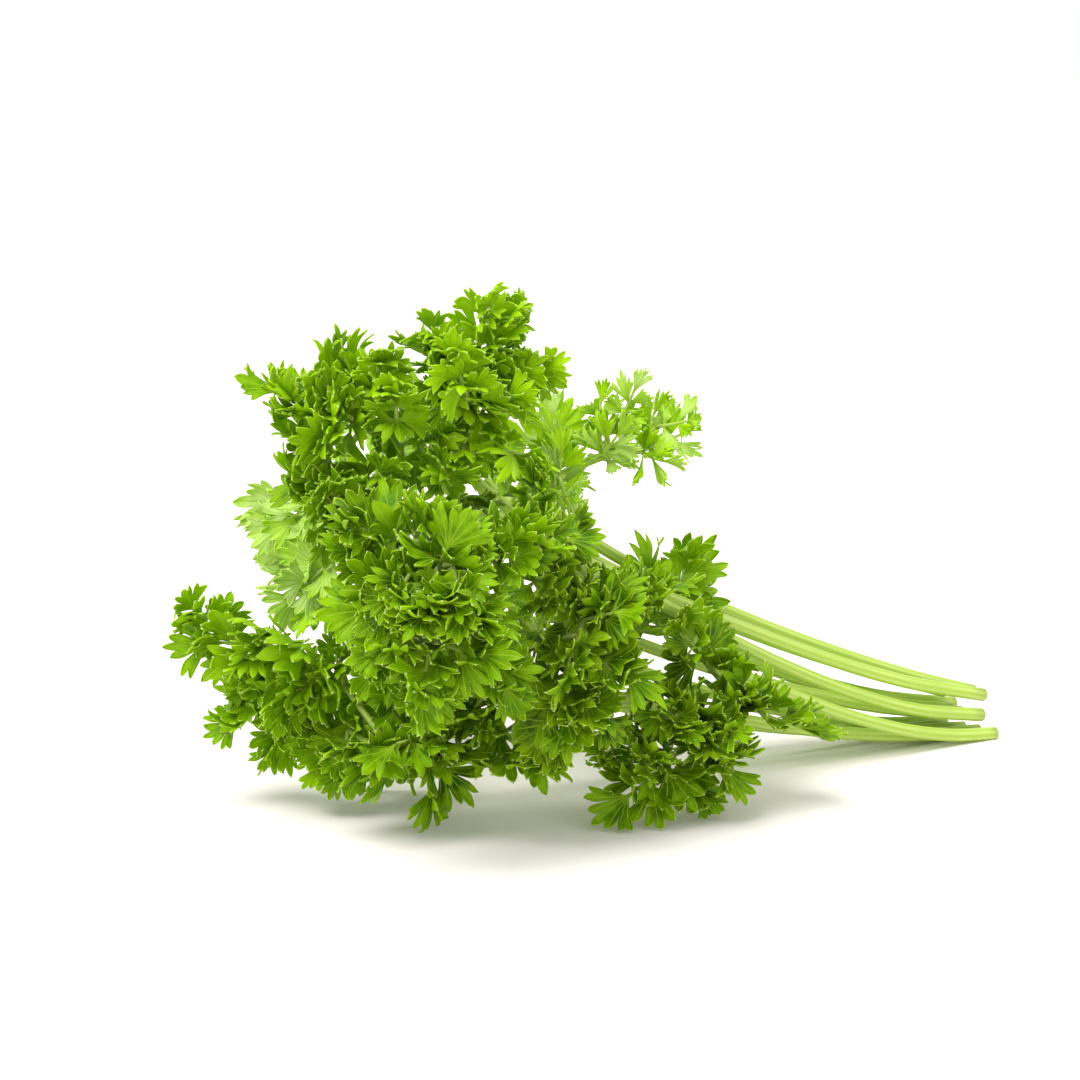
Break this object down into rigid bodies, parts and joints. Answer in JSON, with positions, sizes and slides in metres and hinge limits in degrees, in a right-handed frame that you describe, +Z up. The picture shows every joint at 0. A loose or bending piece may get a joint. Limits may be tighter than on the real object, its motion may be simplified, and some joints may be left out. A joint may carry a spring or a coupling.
{
  "type": "parsley bunch",
  "caption": "Bunch of cut curly parsley lying on its side: crisped, toothed leafy heads on bare pale stalks that gather into a sheaf at the cut ends.",
  "frame": {"origin": "middle of the footprint, on the surface that the bunch lies on", "axes": "+X along the stalks towards their cut ends, +Y towards the side away from the foremost heads, +Z up"},
  "size_m": [0.1852, 0.1291, 0.1068],
  "materials": {
    "leaf": "fresh bright green leaf, satin on top, paler and duller below",
    "stalk": "pale yellow-green ribbed stalk, smooth and slightly moist"
  },
  "bodies": {
    "root": {"leaf_front": "leaf", "leaf_front_right": "leaf", "leaf_crown": "leaf", "leaf_crown_left": "leaf", "leaf_branching": "leaf", "leaf_left_back": "leaf", "leaf_left_low": "leaf", "leaf_low_centre": "leaf", "leaf_right_low": "leaf", "leaf_right_back": "leaf", "leaf_rear_high": "leaf", "leaf_rear_low": "leaf", "leaf_mid_left": "leaf", "stalk_front": "stalk", "stalk_front_right": "stalk", "stalk_crown": "stalk", "stalk_crown_left": "stalk", "stalk_branching": "stalk", "stalk_left_back": "stalk", "stalk_left_low": "stalk", "stalk_low_centre": "stalk", "stalk_right_low": "stalk", "stalk_right_back": "stalk", "stalk_rear_high": "stalk", "stalk_rear_low": "stalk", "stalk_mid_left": "stalk"}
  },
  "joints": []
}
